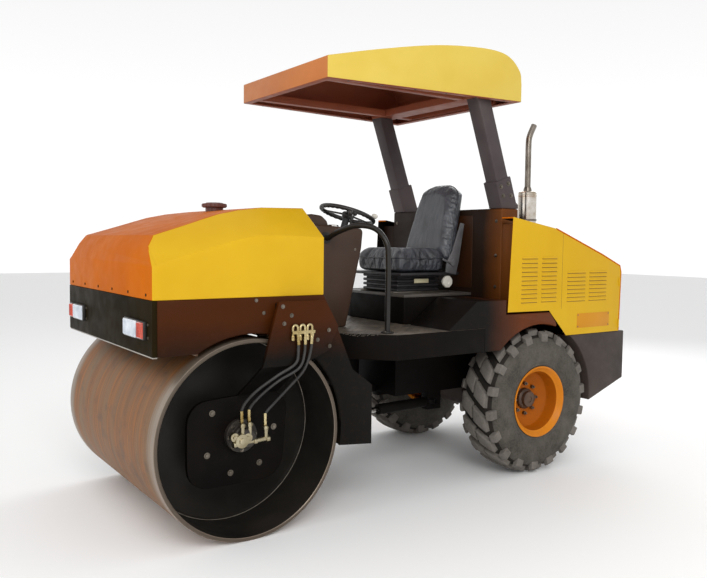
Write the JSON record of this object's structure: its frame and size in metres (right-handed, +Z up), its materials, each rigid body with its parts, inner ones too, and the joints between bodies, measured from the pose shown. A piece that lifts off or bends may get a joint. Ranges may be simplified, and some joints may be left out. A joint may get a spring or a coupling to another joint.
{
  "type": "articulated single-drum road roller",
  "caption": "Articulated single-drum road roller with a smooth steel drum, rubber rear tyres, open operator platform and canopy, tilting engine hood and centre-pivot steering.",
  "frame": {"origin": "ground level under the middle of the machine's length, on its centre plane", "axes": "+X forward, towards the drum; +Y the machine's left; +Z up"},
  "size_m": [3.444, 1.5316, 2.655],
  "materials": {
    "yellow_enamel": "satin enamel",
    "orange_enamel": "satin enamel",
    "black_enamel": "semi-gloss enamel over steel",
    "rolled_steel": "rusty steel worn bright at the rim",
    "tyre_rubber": "matt rubber",
    "seat_vinyl": "soft black vinyl",
    "chrome_plate": "polished",
    "exhaust_steel": "heat-dulled steel",
    "brass_fitting": "passivated",
    "lamp_lens": "clear ribbed lens",
    "amber_lens": "amber lens",
    "cast_iron": "painted casting",
    "black_plastic": "moulded"
  },
  "bodies": {
    "rear_frame": {"rear_chassis": "black_enamel", "rear_axle": "cast_iron", "floor": "black_enamel", "floor_riser": "black_enamel", "fender_left": "black_enamel", "fender_right": "black_enamel", "counterweight": "black_enamel", "bulkhead": "black_enamel", "seat_pedestal": "black_enamel", "seat_suspension": "black_enamel", "seat_cushion": "seat_vinyl", "seat_backrest": "seat_vinyl", "console": "black_plastic", "steering_column": "black_enamel", "handrail_left": "black_enamel", "handrail_right": "black_enamel", "rops_post_left": "black_enamel", "rops_post_right": "black_enamel", "canopy": "yellow_enamel", "canopy_frame": "black_enamel", "engine_block": "cast_iron", "pivot_pin": "cast_iron"},
    "pivot_block": {"steering_yoke": "cast_iron"},
    "front_frame": {"front_frame": "black_enamel", "front_bumper": "black_enamel", "front_hood": "yellow_enamel", "tank_cap": "black_enamel", "headlamp_left": "lamp_lens", "headlamp_right": "lamp_lens", "indicator_left": "amber_lens", "indicator_right": "amber_lens", "drum_support_left": "black_enamel", "drum_support_right": "black_enamel", "drum_motor_left": "cast_iron", "drum_motor_right": "cast_iron", "drum_hoses_left": "brass_fitting", "drum_hoses_right": "brass_fitting", "scraper_front": "rolled_steel", "scraper_rear": "rolled_steel"},
    "drum": {"drum": "rolled_steel", "drum_hub_left": "cast_iron", "drum_hub_right": "cast_iron"},
    "wheel_left": {"tyre_left": "tyre_rubber", "rim_left": "orange_enamel", "hub_left": "cast_iron"},
    "wheel_right": {"tyre_right": "tyre_rubber", "rim_right": "orange_enamel", "hub_right": "cast_iron"},
    "steering_wheel": {"steering_wheel": "black_plastic"},
    "engine_hood": {"engine_hood": "yellow_enamel", "muffler": "chrome_plate", "exhaust_pipe": "exhaust_steel"},
    "cylinder_left": {"cylinder_barrel_left": "black_enamel"},
    "cylinder_left_rod": {"cylinder_rod_left": "chrome_plate"},
    "cylinder_right": {"cylinder_barrel_right": "black_enamel"},
    "cylinder_right_rod": {"cylinder_rod_right": "chrome_plate"}
  },
  "joints": [
    {"name": "steer", "type": "hinge", "parent": "rear_frame", "child": "pivot_block", "pos_m": [0.165, 0, 0.64], "axis": [0, 0, 1], "range_deg": [-30, 30]},
    {"name": "front_roll", "type": "hinge", "parent": "pivot_block", "child": "front_frame", "pos_m": [0.165, 0, 0.565], "axis": [1, 0, 0], "range_deg": [-8, 8]},
    {"name": "drum_spin", "type": "hinge", "parent": "front_frame", "child": "drum", "pos_m": [1.195, 0, 0.5], "axis": [0, 1, 0], "continuous": true},
    {"name": "wheel_left_spin", "type": "hinge", "parent": "rear_frame", "child": "wheel_left", "pos_m": [-0.865, 0.57, 0.465], "axis": [0, 1, 0], "continuous": true},
    {"name": "wheel_right_spin", "type": "hinge", "parent": "rear_frame", "child": "wheel_right", "pos_m": [-0.865, -0.57, 0.465], "axis": [0, 1, 0], "continuous": true},
    {"name": "steering_wheel_turn", "type": "hinge", "parent": "rear_frame", "child": "steering_wheel", "pos_m": [0.165, 0, 1.65], "axis": [-0.309, 0, 0.9511], "continuous": true},
    {"name": "hood_tilt", "type": "hinge", "parent": "rear_frame", "child": "engine_hood", "pos_m": [-1.68, 0, 0.872], "axis": [0, -1, 0], "range_deg": [0, 60]},
    {"name": "cylinder_left_swing", "type": "hinge", "parent": "rear_frame", "child": "cylinder_left", "pos_m": [-0.305, 0.28, 0.455], "axis": [0, 0, 1], "range_deg": [-12, 12]},
    {"name": "cylinder_left_slide", "type": "slide", "parent": "cylinder_left", "child": "cylinder_left_rod", "axis": [0.9982, 0.0596, 0], "range_m": [-0.17, 0.17]},
    {"name": "cylinder_right_swing", "type": "hinge", "parent": "rear_frame", "child": "cylinder_right", "pos_m": [-0.305, -0.28, 0.455], "axis": [0, 0, 1], "range_deg": [-12, 12]},
    {"name": "cylinder_right_slide", "type": "slide", "parent": "cylinder_right", "child": "cylinder_right_rod", "axis": [0.9982, -0.0596, 0], "range_m": [-0.17, 0.17]}
  ],
  "couplings": [
    {"joint": "cylinder_left_swing", "follows": "steer", "ratio": 0.3111},
    {"joint": "cylinder_left_slide", "follows": "steer", "m_per_rad": -0.3026},
    {"joint": "cylinder_right_swing", "follows": "steer", "ratio": 0.3111},
    {"joint": "cylinder_right_slide", "follows": "steer", "m_per_rad": 0.3026}
  ]
}
